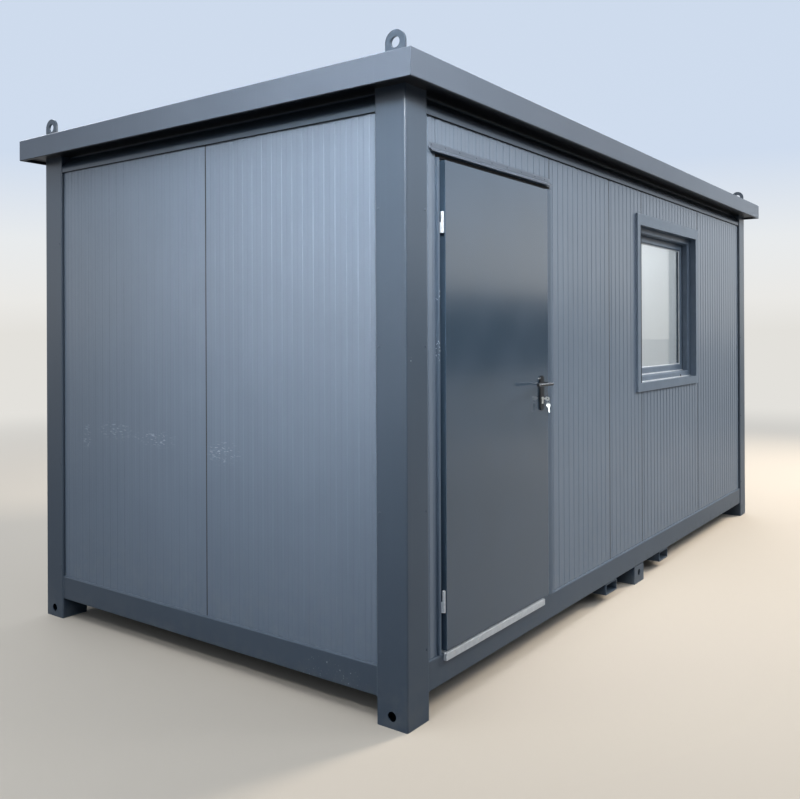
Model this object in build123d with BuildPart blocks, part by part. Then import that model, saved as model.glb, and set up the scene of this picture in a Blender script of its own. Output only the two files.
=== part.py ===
from build123d import *
import os

os.makedirs("parts", exist_ok=True)

# Portable site cabin: a welded steel frame of four corner posts, base rails and
# roof rails, closed with ribbed sandwich panels, a hinged steel door and one window.
# Frame: X along the long front, Y from front to rear, Z up, origin on the ground
# under the middle of the cabin. Millimetres.

# Overall sizes, over the outer faces of the corner posts
cabin_length = 4885.0
cabin_width = 2435.0
roof_top = 2590.0

# Corner posts
post_size = 150.0
post_wall = 4.0
post_radius = 8.0
foot_plate = 10.0
foot_hole_radius = 20.0
post_hole_height = 47.0

# Base frame and floor
rail_bottom = 105.0
base_rail_height = 125.0
rail_setback = 5.0
rail_wall = 4.0
rail_bend = 8.0
base_bottom_flange = 60.0
floor_board = 22.0
joist_width = 50.0
joist_wall = 3.0
joist_count = 8
middle_foot_wall = 8.0
middle_foot_hole_height = 60.0
fork_pocket_width = 155.0
fork_pocket_height = 60.0
fork_pocket_wall = 5.0
fork_pocket_offset = 435.0

# Sandwich panels
panel_thickness = 80.0
panel_setback = 15.0
panel_joint = 4.0
panel_top_slack = 2.0
rib_pitch = 60.0
rib_crown = 26.0
rib_flank = 4.0
rib_height = 2.0
rib_margin = 12.0
tongue_setback = 45.0
tongue_width = 20.0
tongue_reach = 12.0
tongue_taper = 2.0
tongue_clearance = 0.5

# Roof frame
deck_drop = 30.0
roof_rail_height = 155.0
lip_drop = 29.0
shelf_reach = 25.0
web_setback = 50.0
shoulder_bend = 40.0
roof_flange = 53.0
ceiling_thickness = 60.0

# Roof edge and deck
fascia_height = 110.0
fascia_overhang = 95.0
fascia_sheet = 3.0
fascia_bend = 5.0
fascia_top_flange = 50.0
fascia_hem = 15.0
soffit_rise = 12.0
deck_sheet = 2.0
deck_rib_pitch = 250.0
deck_rib_height = 22.0
deck_rib_crown = 60.0
deck_rib_foot = 100.0

# Lifting eyes
eye_thickness = 12.0
eye_radius = 47.5
eye_hole_radius = 22.0
eye_rise = 146.0
eye_end_inset = 9.0
eye_side_inset = 50.0

# Doorway and door, measured from the cabin's left front corner
door_left = 227.0
door_right = 1254.0
over_door = 172.0
frame_face = 3.0
hinge_jamb_face = 16.0
lock_jamb_face = 53.0
head_face = 16.0
head_recess = 24.0
frame_stop = 22.0
frame_inner_proud = 3.0
frame_sheet = 2.0
frame_bend = 2.0
leaf_left = 268.0
leaf_thickness = 45.0
leaf_proud = 9.0
leaf_bend = 1.5
leaf_gap = 7.0
leaf_seal_gap = 6.0
threshold_left = 260.0
threshold_right = 1141.0
threshold_height = 32.0
threshold_sheet = 2.5
threshold_nose = 14.5
threshold_slope = 4.0
threshold_gap = 5.5
drip_left = 176.0
drip_right = 1252.0
drip_lap = 40.0
drip_flat = 22.0
drip_height = 39.0
drip_proud = 18.0
drip_lip = 4.0
drip_sheet = 2.0

# Door hinges
hinge_axis_gap = 12.5
hinge_radius = 7.0
hinge_pin_radius = 4.0
hinge_pin_clearance = 0.08
hinge_height = 87.0
hinge_split = 0.5
hinge_wing = 3.0
hinge_wing_inset = 1.5
lower_hinge_rise = 159.0
upper_hinge_drop = 297.0

# Door furniture
backset = 80.0
lever_height = 1283.0
plate_length = 168.0
plate_width = 38.0
plate_thickness = 8.0
plate_centre_drop = 45.0
lever_radius = 8.0
lever_reach = 50.0
lever_length = 140.0
lever_clearance = 1.0
spindle_side = 8.0
spindle_hole_radius = 8.0
cylinder_drop = 72.0
cylinder_radius = 8.5
cylinder_lug = 10.0
cylinder_length_below = 24.5
cylinder_proud = 3.0
cylinder_clearance = 0.3

# Window, measured from the same corner
window_left = 2480.0
window_right = 3572.0
window_height = 978.0
over_window = 240.0
window_margin = 10.0
trim_side = 48.0
trim_head = 68.0
trim_sill = 52.0
trim_sheet = 2.0
window_frame_setback = 45.0
window_frame_depth = 65.0
window_frame_face = 40.0
sash_setback = 88.0
sash_depth = 42.0
sash_face = 45.0
window_bevel = 7.0
glass_setback = 97.0
glass_thickness = 20.0

# Joints between the front panels, from the same corner
front_joints = [door_right, 2017.0, 2528.0, 3647.0, cabin_length - post_size]
side_joint = 1150.0
rear_panel_count = 4

fit = 0.5

# Levels that follow from the sizes above
floor_level = rail_bottom + base_rail_height
half_length = cabin_length / 2
half_width = cabin_width / 2
panel_back = panel_setback + panel_thickness
post_top = roof_top - deck_drop
eye_height = post_top + eye_rise
lip_bottom = post_top - roof_rail_height
shelf_level = lip_bottom + lip_drop
panel_top = shelf_level - panel_top_slack
ceiling_level = shelf_level + rail_wall
door_head = panel_top - over_door
leaf_right = door_right - lock_jamb_face - leaf_gap
leaf_bottom = floor_level + threshold_sheet + threshold_gap
leaf_top = door_head - head_face - leaf_gap
leaf_front = frame_face - leaf_proud
leaf_back = leaf_front + leaf_thickness
hinge_bottoms = [leaf_bottom + lower_hinge_rise, leaf_top - upper_hinge_drop]
window_top = panel_top - over_window
window_bottom = window_top - window_height

# One plane per wall: origin at the foot of the post on the left as seen from
# outside, local x along the wall, local y inwards
wall_planes = {
    "front": Plane(origin=(-half_length, -half_width, 0), x_dir=(1, 0, 0), z_dir=(0, 0, 1)),
    "right": Plane(origin=(half_length, -half_width, 0), x_dir=(0, 1, 0), z_dir=(0, 0, 1)),
    "rear": Plane(origin=(half_length, half_width, 0), x_dir=(-1, 0, 0), z_dir=(0, 0, 1)),
    "left": Plane(origin=(-half_length, half_width, 0), x_dir=(0, -1, 0), z_dir=(0, 0, 1)),
}
wall_lengths = {
    "front": cabin_length,
    "right": cabin_width,
    "rear": cabin_length,
    "left": cabin_width,
}
corners = {
    "front_left": (-1, -1),
    "front_right": (1, -1),
    "rear_left": (-1, 1),
    "rear_right": (1, 1),
}


def section_plane(wall, along):
    """Plane across a wall: local x inwards, local y up, normal along the wall."""
    base = wall_planes[wall]
    return Plane(origin=base.from_local_coords((along, 0, 0)), x_dir=base.y_dir, z_dir=base.x_dir)


def elevation_plane(depth):
    """Plane parallel to the front: local x along it, local y up, normal outwards."""
    return Plane(origin=(-half_length, -half_width + depth, 0), x_dir=(1, 0, 0), z_dir=(0, -1, 0))


def panel_section(wall, level, start, stop, grooved, tongued):
    """Ribbed panel in plan: flat inner skin, trapezoid ribs outside, joint edges where asked."""
    width = stop - start
    rib_width = rib_crown + 2 * rib_flank
    spare = width - 2 * rib_margin - rib_width
    rib_count = max(0, int(spare // rib_pitch) + 1)
    first_rib = start + (width - (rib_count - 1) * rib_pitch - rib_width) / 2
    rib_crest = panel_setback - rib_height
    points = [(start, panel_back)]
    if grooved:
        groove_end = start + tongue_reach - panel_joint + tongue_clearance
        groove_front = tongue_setback - tongue_clearance
        groove_back = tongue_setback + tongue_width + tongue_clearance
        points.append((start, groove_back))
        points.append((groove_end, groove_back - tongue_taper))
        points.append((groove_end, groove_front + tongue_taper))
        points.append((start, groove_front))
    points.append((start, panel_setback))
    for index in range(rib_count):
        foot = first_rib + index * rib_pitch
        points.append((foot, panel_setback))
        points.append((foot + rib_flank, rib_crest))
        points.append((foot + rib_flank + rib_crown, rib_crest))
        points.append((foot + rib_width, panel_setback))
    points.append((stop, panel_setback))
    if tongued:
        tongue_back = tongue_setback + tongue_width
        points.append((stop, tongue_setback))
        points.append((stop + tongue_reach, tongue_setback + tongue_taper))
        points.append((stop + tongue_reach, tongue_back - tongue_taper))
        points.append((stop, tongue_back))
    points.append((stop, panel_back))
    with BuildSketch(wall_planes[wall].offset(level)) as section:
        with BuildLine():
            Polyline(*points, close=True)
        make_face()
    return section.sketch


def make_panels(name, wall, joints, bottom, top):
    """Sandwich panels standing side by side in a wall, tongue in groove at each joint."""
    last = len(joints) - 2
    with BuildPart() as panels:
        for index in range(last + 1):
            start = joints[index] + panel_joint / 2
            stop = joints[index + 1] - panel_joint / 2
            extrude(panel_section(wall, bottom, start, stop, index > 0, index < last), amount=top - bottom)
    panels.part.label = name
    export_step(panels.part, f"parts/{name}.step")


# Corner posts: square tubes on a foot plate, with a hole in the outer end face
for name, (side_x, side_y) in corners.items():
    centre_x = side_x * (half_length - post_size / 2)
    centre_y = side_y * (half_width - post_size / 2)
    with BuildPart() as post:
        with BuildSketch(Plane.XY):
            with Locations((centre_x, centre_y)):
                RectangleRounded(post_size, post_size, post_radius)
        extrude(amount=post_top)
        with BuildSketch(Plane.XY.offset(foot_plate)):
            with Locations((centre_x, centre_y)):
                Rectangle(post_size - 2 * post_wall, post_size - 2 * post_wall)
        extrude(amount=post_top - foot_plate - post_wall, mode=Mode.SUBTRACT)
        hole_plane = Plane(origin=(side_x * half_length, 0, 0), x_dir=(0, side_x, 0), z_dir=(side_x, 0, 0))
        with BuildSketch(hole_plane):
            with Locations((side_x * centre_y, post_hole_height)):
                Circle(foot_hole_radius)
        extrude(amount=-2 * post_wall, mode=Mode.SUBTRACT)
    post.part.label = f"post_{name}"
    export_step(post.part, f"parts/post_{name}.step")

# Base rails: cold-formed channels between the posts, open inwards
for wall, length in wall_lengths.items():
    with BuildPart() as base_rail:
        with BuildSketch(section_plane(wall, post_size)):
            with BuildLine():
                FilletPolyline(
                    (panel_back, floor_level),
                    (rail_setback, floor_level),
                    (rail_setback, rail_bottom),
                    (rail_setback + base_bottom_flange, rail_bottom),
                    radius=rail_bend,
                )
                offset(amount=rail_wall, side=Side.LEFT)
            make_face()
        extrude(amount=length - 2 * post_size)
    base_rail.part.label = f"base_rail_{wall}"
    export_step(base_rail.part, f"parts/base_rail_{wall}.step")

# Roof rails: folded from a lip over the panels' top edge that curves back in a round
# shoulder, a web behind the roof edge and a flange under the deck, with a shelf welded
# in to carry the ceiling
shelf_start = rail_setback + rail_wall
for wall, length in wall_lengths.items():
    with BuildPart() as roof_rail:
        with BuildSketch(section_plane(wall, post_size)):
            with BuildLine():
                FilletPolyline(
                    (web_setback + roof_flange, post_top),
                    (web_setback, post_top),
                    (web_setback, ceiling_level + web_setback - rail_setback),
                    (rail_setback, ceiling_level),
                    (rail_setback, lip_bottom),
                    radius=[rail_bend, rail_bend, shoulder_bend],
                )
                offset(amount=rail_wall, side=Side.LEFT)
            make_face()
            with Locations((shelf_start, shelf_level)):
                Rectangle(panel_back + shelf_reach - shelf_start, rail_wall, align=(Align.MIN, Align.MIN))
        extrude(amount=length - 2 * post_size)
    roof_rail.part.label = f"roof_rail_{wall}"
    export_step(roof_rail.part, f"parts/roof_rail_{wall}.step")

# Floor joists: hollow sections on the rails' lower flanges
joist_bottom = rail_bottom + rail_wall
joist_height = floor_level - floor_board - joist_bottom
joist_end = half_width - rail_setback - rail_bend
joist_pitch = (cabin_length - 2 * post_size) / joist_count
with BuildPart() as floor_joists:
    with BuildSketch(Plane.XZ.offset(-joist_end)):
        with GridLocations(joist_pitch, 1, joist_count, 1):
            with Locations((0, joist_bottom + joist_height / 2)):
                Rectangle(joist_width, joist_height)
                Rectangle(joist_width - 2 * joist_wall, joist_height - 2 * joist_wall, mode=Mode.SUBTRACT)
    extrude(amount=2 * joist_end)
floor_joists.part.label = "floor_joists"
export_step(floor_joists.part, "parts/floor_joists.step")

# Floor board, notched round the posts
floor_length = cabin_length - 2 * (panel_back + fit)
floor_width = cabin_width - 2 * (panel_back + fit)
corner_grid = (cabin_length - post_size, cabin_width - post_size)
with BuildPart() as floor_deck:
    with BuildSketch(Plane.XY.offset(floor_level - floor_board)):
        Rectangle(floor_length, floor_width)
        with GridLocations(*corner_grid, 2, 2):
            Rectangle(post_size + 2 * fit, post_size + 2 * fit, mode=Mode.SUBTRACT)
    extrude(amount=floor_board)
floor_deck.part.label = "floor_deck"
export_step(floor_deck.part, "parts/floor_deck.step")

# Ceiling panel, on the shelves of the roof rails
ceiling_edge = web_setback + rail_wall + fit
with BuildPart() as ceiling:
    with BuildSketch(Plane.XY.offset(ceiling_level)):
        Rectangle(cabin_length - 2 * ceiling_edge, cabin_width - 2 * ceiling_edge)
        with GridLocations(*corner_grid, 2, 2):
            Rectangle(post_size + 2 * fit, post_size + 2 * fit, mode=Mode.SUBTRACT)
    extrude(amount=ceiling_thickness)
ceiling.part.label = "ceiling"
export_step(ceiling.part, "parts/ceiling.step")

# Fork pockets: tubes across the cabin, welded under the long base rails
pocket_end = half_width - rail_setback
pocket_centre = rail_bottom - fork_pocket_height / 2
with BuildPart() as fork_pockets:
    with BuildSketch(Plane.XZ.offset(-pocket_end)):
        with Locations((-fork_pocket_offset, pocket_centre), (fork_pocket_offset, pocket_centre)):
            Rectangle(fork_pocket_width, fork_pocket_height)
            Rectangle(
                fork_pocket_width - 2 * fork_pocket_wall,
                fork_pocket_height - 2 * fork_pocket_wall,
                mode=Mode.SUBTRACT,
            )
    extrude(amount=2 * pocket_end)
fork_pockets.part.label = "fork_pockets"
export_step(fork_pockets.part, "parts/fork_pockets.step")

# Middle feet: short boxes under the long rails, with a hole in the outer face
foot_outer = half_width - rail_setback
foot_centre = foot_outer - post_size / 2
with BuildPart() as middle_feet:
    with BuildSketch(Plane.XY):
        with Locations((0, -foot_centre), (0, foot_centre)):
            Rectangle(post_size, post_size)
    extrude(amount=rail_bottom)
    with BuildSketch(Plane.XY.offset(foot_plate)):
        with Locations((0, -foot_centre), (0, foot_centre)):
            Rectangle(post_size - 2 * middle_foot_wall, post_size - 2 * middle_foot_wall)
    extrude(amount=rail_bottom - foot_plate, mode=Mode.SUBTRACT)
    for side in (-1, 1):
        with BuildSketch(Plane(origin=(0, side * foot_outer, 0), x_dir=(-side, 0, 0), z_dir=(0, side, 0))):
            with Locations((0, middle_foot_hole_height)):
                Circle(foot_hole_radius)
        extrude(amount=-2 * middle_foot_wall, mode=Mode.SUBTRACT)
middle_feet.part.label = "middle_feet"
export_step(middle_feet.part, "parts/middle_feet.step")

# Roof edge: folded sheet with a top flange and a hem, a soffit behind it, mitred at the corners
fascia_bottom = roof_top - fascia_height
soffit_level = fascia_bottom + soffit_rise
soffit_start = fascia_sheet - fascia_overhang
for wall, length in wall_lengths.items():
    with BuildPart() as fascia:
        with BuildSketch(section_plane(wall, -fascia_overhang)):
            with BuildLine():
                FilletPolyline(
                    (fascia_top_flange - fascia_overhang, roof_top),
                    (-fascia_overhang, roof_top),
                    (-fascia_overhang, fascia_bottom),
                    (fascia_hem - fascia_overhang, fascia_bottom),
                    radius=fascia_bend,
                )
                offset(amount=fascia_sheet, side=Side.LEFT)
            make_face()
            with Locations((soffit_start, soffit_level)):
                Rectangle(web_setback - fit - soffit_start, fascia_sheet, align=(Align.MIN, Align.MIN))
        extrude(amount=length + 2 * fascia_overhang)
        # mitres at both ends, from the outer corner inwards
        base = wall_planes[wall]
        reach = fascia_overhang + post_size
        for end, turn in ((-fascia_overhang, 1), (length + fascia_overhang, -1)):
            with BuildSketch(base.offset(fascia_bottom)):
                with BuildLine():
                    Polyline(
                        (end, -fascia_overhang),
                        (end, reach),
                        (end + turn * (reach + fascia_overhang), reach),
                        close=True,
                    )
                make_face()
            extrude(amount=fascia_height, mode=Mode.SUBTRACT)
        # room for the posts
        with BuildSketch(Plane.XY.offset(fascia_bottom)):
            with GridLocations(*corner_grid, 2, 2):
                Rectangle(post_size + 2 * fit, post_size + 2 * fit)
        extrude(amount=fascia_height, mode=Mode.SUBTRACT)
    fascia.part.label = f"fascia_{wall}"
    export_step(fascia.part, f"parts/fascia_{wall}.step")

# Roof deck: trapezoid sheet across the cabin, resting on posts and rails
deck_half_length = half_length + fascia_overhang - fascia_sheet - fit
deck_half_width = half_width + fascia_overhang - fascia_sheet - fit
deck_rib_count = int(2 * (deck_half_length - deck_rib_foot) // deck_rib_pitch) + 1
deck_points_top = []
for index in range(deck_rib_count):
    centre = (index - (deck_rib_count - 1) / 2) * deck_rib_pitch
    deck_points_top.append((centre - deck_rib_foot / 2, deck_sheet))
    deck_points_top.append((centre - deck_rib_crown / 2, deck_rib_height + deck_sheet))
    deck_points_top.append((centre + deck_rib_crown / 2, deck_rib_height + deck_sheet))
    deck_points_top.append((centre + deck_rib_foot / 2, deck_sheet))
deck_outline_top = [(-deck_half_length, deck_sheet)] + deck_points_top + [(deck_half_length, deck_sheet)]
deck_outline = deck_outline_top + [(x, z - deck_sheet) for x, z in reversed(deck_outline_top)]
with BuildPart() as roof_deck:
    with BuildSketch(Plane(origin=(0, deck_half_width, post_top), x_dir=(1, 0, 0), z_dir=(0, -1, 0))):
        with BuildLine():
            Polyline(*deck_outline, close=True)
        make_face()
    extrude(amount=2 * deck_half_width)
    with BuildSketch(Plane.XY.offset(post_top)):
        with GridLocations(cabin_length - 2 * eye_end_inset, cabin_width - 2 * eye_side_inset, 2, 2):
            Rectangle(eye_thickness + 2 * fit, 2 * eye_radius + 2 * fit)
    extrude(amount=2 * deck_rib_height, mode=Mode.SUBTRACT)
roof_deck.part.label = "roof_deck"
export_step(roof_deck.part, "parts/roof_deck.step")

# Lifting eyes: round-headed plates welded on the posts, through the deck
for name, (side_x, side_y) in corners.items():
    eye_plane = Plane(
        origin=(side_x * (half_length - eye_end_inset) + eye_thickness / 2, 0, 0),
        x_dir=(0, 1, 0),
        z_dir=(1, 0, 0),
    )
    eye_y = side_y * (half_width - eye_side_inset)
    eye_centre = eye_height - eye_radius
    with BuildPart() as lifting_eye:
        with BuildSketch(eye_plane):
            with Locations((eye_y, eye_centre)):
                Circle(eye_radius)
            with Locations((eye_y, (post_top + eye_centre) / 2)):
                Rectangle(2 * eye_radius, eye_centre - post_top)
            with Locations((eye_y, eye_centre)):
                Circle(eye_hole_radius, mode=Mode.SUBTRACT)
        extrude(amount=-eye_thickness)
    lifting_eye.part.label = f"lifting_eye_{name}"
    export_step(lifting_eye.part, f"parts/lifting_eye_{name}.step")

# Plain walls: two panels in each end wall, four in the rear wall
side_end = cabin_width - post_size
make_panels("left_wall", "left", [post_size, cabin_width - side_joint, side_end], floor_level, panel_top)
make_panels("right_wall", "right", [post_size, side_joint, side_end], floor_level, panel_top)
rear_step = (cabin_length - 2 * post_size) / rear_panel_count
rear_joints = [post_size + index * rear_step for index in range(rear_panel_count + 1)]
make_panels("rear_wall", "rear", rear_joints, floor_level, panel_top)

# Front wall: a strip beside the door and a short panel over it
make_panels("front_strip", "front", [post_size, door_left], floor_level, panel_top)
make_panels("panel_over_door", "front", [door_left, door_right], door_head, panel_top)

# Full panels of the front wall, with the window cut through those that it meets
hole_left = window_left - window_margin
hole_right = window_right + window_margin
hole_bottom = window_bottom - window_margin
hole_top = window_top + window_margin
full_panels = len(front_joints) - 1
for index in range(full_panels):
    start = front_joints[index] + panel_joint / 2
    stop = front_joints[index + 1] - panel_joint / 2
    section = panel_section("front", floor_level, start, stop, index > 0, index < full_panels - 1)
    with BuildPart() as front_panel:
        extrude(section, amount=panel_top - floor_level)
        if start < hole_right and stop > hole_left:
            with BuildSketch(elevation_plane(0)):
                with Locations(((hole_left + hole_right) / 2, (hole_bottom + hole_top) / 2)):
                    Rectangle(hole_right - hole_left, hole_top - hole_bottom)
            extrude(amount=-(panel_back + fit), mode=Mode.SUBTRACT)
    front_panel.part.label = f"front_panel_{index + 1}"
    export_step(front_panel.part, f"parts/front_panel_{index + 1}.step")

# Door frame: hollow jambs and head of folded sheet, with a rebate that the leaf closes into
stop_front = leaf_back + leaf_seal_gap
frame_back = panel_back + frame_inner_proud
hinge_face = door_left + hinge_jamb_face
lock_face = door_right - lock_jamb_face
hinge_stop = leaf_left + frame_stop
lock_stop = leaf_right - frame_stop
head_bottom = door_head - head_face
stop_bottom = leaf_top - frame_stop


def make_jamb(name, edge, face, stop):
    """Jamb from its edge at the panels to its face beside the leaf and its stop behind it."""
    with BuildPart() as jamb:
        with BuildSketch(wall_planes["front"].offset(floor_level)) as section:
            with BuildLine():
                Polyline(
                    (edge, frame_face),
                    (face, frame_face),
                    (face, stop_front),
                    (stop, stop_front),
                    (stop, frame_back),
                    (edge, frame_back),
                    close=True,
                )
            make_face()
            rows = section.vertices().group_by(Axis.Y)
            chamfer(rows[0] + rows[-1], length=frame_bend)
            offset(amount=-frame_sheet, mode=Mode.SUBTRACT)
        extrude(amount=head_bottom - floor_level)
    jamb.part.label = name
    export_step(jamb.part, f"parts/{name}.step")


make_jamb("hinge_jamb", door_left, hinge_face, hinge_stop)
make_jamb("lock_jamb", door_right, lock_face, lock_stop)

# Head: a flat box over the leaf and both jambs, set back from their faces, and the leaf's stop under it
head_boxes = [
    (door_left, door_right, frame_face + head_recess, head_bottom, door_head),
    (hinge_stop, lock_stop, stop_front, stop_bottom, head_bottom),
]
with BuildPart() as door_head_rail:
    for start, stop, front, bottom, top in head_boxes:
        with BuildSketch(section_plane("front", start)):
            with Locations((front, bottom)):
                Rectangle(frame_back - front, top - bottom, align=(Align.MIN, Align.MIN))
            offset(amount=-frame_sheet, mode=Mode.SUBTRACT)
        extrude(amount=stop - start)
door_head_rail.part.label = "door_head_rail"
export_step(door_head_rail.part, "parts/door_head_rail.step")

# Threshold: bright extruded sill over the base rail, with a hollow nose that sheds water
sill_top = floor_level + threshold_sheet
nose_front = rail_setback - threshold_nose
cavity_depth = threshold_nose - 2 * threshold_sheet
cavity_height = threshold_height - threshold_slope - 2 * threshold_sheet
with BuildPart() as threshold:
    with BuildSketch(section_plane("front", threshold_left)):
        with BuildLine():
            Polyline(
                (stop_front, floor_level),
                (stop_front, sill_top),
                (rail_setback, sill_top),
                (nose_front, sill_top - threshold_slope),
                (nose_front, sill_top - threshold_height),
                (rail_setback, sill_top - threshold_height),
                (rail_setback, floor_level),
                close=True,
            )
        make_face()
    extrude(amount=threshold_right - threshold_left)
    with BuildSketch(section_plane("front", threshold_left + threshold_sheet)):
        with Locations((nose_front + threshold_sheet, sill_top - threshold_height + threshold_sheet)):
            Rectangle(cavity_depth, cavity_height, align=(Align.MIN, Align.MIN))
    extrude(amount=threshold_right - threshold_left - 2 * threshold_sheet, mode=Mode.SUBTRACT)
threshold.part.label = "threshold"
export_step(threshold.part, "parts/threshold.step")

# Drip strip over the door: sheet flat against the ribs' crowns, folded outwards at its foot
crown_face = panel_setback - rib_height
drip_top = door_head + drip_lap
drip_bottom = drip_top - drip_height
drip_back = crown_face - drip_proud + drip_sheet
with BuildPart() as door_drip:
    with BuildSketch(section_plane("front", drip_left)):
        with BuildLine():
            Polyline(
                (drip_back, drip_bottom),
                (drip_back, drip_bottom + drip_lip),
                (crown_face, drip_top - drip_flat),
                (crown_face, drip_top),
            )
            offset(amount=drip_sheet, side=Side.LEFT)
        make_face()
    extrude(amount=drip_right - drip_left)
door_drip.part.label = "door_drip"
export_step(door_drip.part, "parts/door_drip.step")

# Places of the lever's axis and the lock, from the leaf's free edge
lever_along = leaf_right - backset
cylinder_height = lever_height - cylinder_drop


def cylinder_outline(clearance):
    """Keyhole-shaped outline of the lock cylinder, grown by a clearance."""
    with BuildSketch(elevation_plane(0)) as outline:
        with Locations((lever_along, cylinder_height)):
            Circle(cylinder_radius + clearance)
        with Locations((lever_along, cylinder_height - cylinder_length_below / 2)):
            Rectangle(cylinder_lug + 2 * clearance, cylinder_length_below + 2 * clearance)
    return outline.sketch


# Door leaf: flush steel leaf, bored for the spindle and the lock cylinder
with BuildPart() as door_leaf:
    with BuildSketch(elevation_plane(leaf_front)):
        with Locations(((leaf_left + leaf_right) / 2, (leaf_bottom + leaf_top) / 2)):
            Rectangle(leaf_right - leaf_left, leaf_top - leaf_bottom)
        with Locations((lever_along, lever_height)):
            Circle(spindle_hole_radius, mode=Mode.SUBTRACT)
    extrude(amount=-leaf_thickness)
    chamfer(door_leaf.edges().filter_by(Axis.Z), length=leaf_bend)
    extrude(cylinder_outline(cylinder_clearance), amount=leaf_thickness, both=True, mode=Mode.SUBTRACT)
door_leaf.part.label = "door_leaf"
export_step(door_leaf.part, "parts/door_leaf.step")

# Hinges: lower halves on the jamb with their pins, upper halves on the leaf
hinge_x = leaf_left - hinge_axis_gap
knuckle_height = (hinge_height - hinge_split) / 2
wing_front = frame_face + hinge_wing_inset
with BuildPart() as frame_hinges:
    for bottom in hinge_bottoms:
        with BuildSketch(wall_planes["front"].offset(bottom)):
            with Locations((hinge_x, 0)):
                Circle(hinge_radius)
            with Locations(((hinge_face + hinge_x) / 2, wing_front + hinge_wing / 2)):
                Rectangle(hinge_x - hinge_face, hinge_wing)
        extrude(amount=knuckle_height)
        with BuildSketch(wall_planes["front"].offset(bottom + knuckle_height)):
            with Locations((hinge_x, 0)):
                Circle(hinge_pin_radius)
        extrude(amount=knuckle_height - hinge_wing)
frame_hinges.part.label = "frame_hinges"
export_step(frame_hinges.part, "parts/frame_hinges.step")

with BuildPart() as leaf_hinges:
    for bottom in hinge_bottoms:
        upper = bottom + knuckle_height + hinge_split
        with BuildSketch(wall_planes["front"].offset(upper)):
            with Locations((hinge_x, 0)):
                Circle(hinge_radius)
            with Locations(((leaf_left + hinge_x) / 2, wing_front + hinge_wing / 2)):
                Rectangle(leaf_left - hinge_x, hinge_wing)
        extrude(amount=knuckle_height)
        with BuildSketch(wall_planes["front"].offset(upper)):
            with Locations((hinge_x, 0)):
                Circle(hinge_pin_radius + hinge_pin_clearance)
        extrude(amount=knuckle_height - hinge_wing, mode=Mode.SUBTRACT)
leaf_hinges.part.label = "leaf_hinges"
export_step(leaf_hinges.part, "parts/leaf_hinges.step")

# Long plates behind the levers, outside and inside
plate_centre = lever_height - plate_centre_drop
with BuildPart() as handle_plates:
    for face, outward in ((leaf_front, 1), (leaf_back, -1)):
        with BuildSketch(elevation_plane(face)):
            with Locations((lever_along, plate_centre)):
                SlotOverall(plate_length, plate_width, rotation=90)
            with Locations((lever_along, lever_height)):
                Circle(lever_radius + lever_clearance, mode=Mode.SUBTRACT)
        extrude(amount=outward * plate_thickness)
    extrude(cylinder_outline(cylinder_clearance), amount=2 * leaf_thickness, both=True, mode=Mode.SUBTRACT)
handle_plates.part.label = "handle_plates"
export_step(handle_plates.part, "parts/handle_plates.step")

# Lock cylinder through the leaf and both plates
cylinder_front = leaf_front - plate_thickness - cylinder_proud
cylinder_back = leaf_back + plate_thickness + cylinder_proud
with BuildPart() as lock_cylinder:
    extrude(cylinder_outline(0), amount=-cylinder_back)
    extrude(cylinder_outline(0), amount=-cylinder_front)
lock_cylinder.part.label = "lock_cylinder"
export_step(lock_cylinder.part, "parts/lock_cylinder.step")

# Levers: a round bar mitred at its elbow on each side of the leaf, joined by the square spindle
lever_out = leaf_front - plate_thickness - lever_reach
lever_in = leaf_back + plate_thickness + lever_reach
lever_y = -half_width
lever_x = -half_length + lever_along
neck_front = leaf_front - fit
neck_back = leaf_back + fit
with BuildPart() as door_lever:
    for neck, end in ((neck_front, lever_out), (neck_back, lever_in)):
        with BuildLine():
            Polyline(
                (lever_x, lever_y + neck, lever_height),
                (lever_x, lever_y + end, lever_height),
                (lever_x - lever_length, lever_y + end, lever_height),
            )
        with BuildSketch(Plane(origin=(lever_x, lever_y + neck, lever_height), z_dir=(0, neck - end, 0))):
            Circle(lever_radius)
        sweep(transition=Transition.RIGHT)
    with BuildSketch(Plane(origin=(lever_x, lever_y + lever_out / 2, lever_height), z_dir=(0, 1, 0))):
        Rectangle(spindle_side, spindle_side)
    extrude(amount=(lever_in - lever_out) / 2)
door_lever.part.label = "door_lever"
export_step(door_lever.part, "parts/door_lever.step")

# Window: trim over the panels' cut edges, then frame, sash and glass in steps
window_centre = ((window_left + window_right) / 2, (window_bottom + window_top) / 2)
window_width = window_right - window_left
trim_width = window_width + 2 * trim_side
trim_height = window_height + trim_head + trim_sill
trim_centre = (window_centre[0], window_centre[1] + (trim_head - trim_sill) / 2)
with BuildPart() as window_trim:
    with BuildSketch(elevation_plane(0)):
        with Locations(trim_centre):
            Rectangle(trim_width, trim_height)
        with Locations(window_centre):
            Rectangle(window_width, window_height, mode=Mode.SUBTRACT)
    extrude(amount=-trim_sheet)
    with BuildSketch(elevation_plane(0)):
        with Locations(trim_centre):
            Rectangle(trim_width, trim_height)
            Rectangle(trim_width - 2 * trim_sheet, trim_height - 2 * trim_sheet, mode=Mode.SUBTRACT)
    extrude(amount=-crown_face)
    with BuildSketch(elevation_plane(0)):
        with Locations(window_centre):
            Rectangle(window_width + 2 * trim_sheet, window_height + 2 * trim_sheet)
            Rectangle(window_width, window_height, mode=Mode.SUBTRACT)
    extrude(amount=-window_frame_setback)
window_trim.part.label = "window_trim"
export_step(window_trim.part, "parts/window_trim.step")

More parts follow.
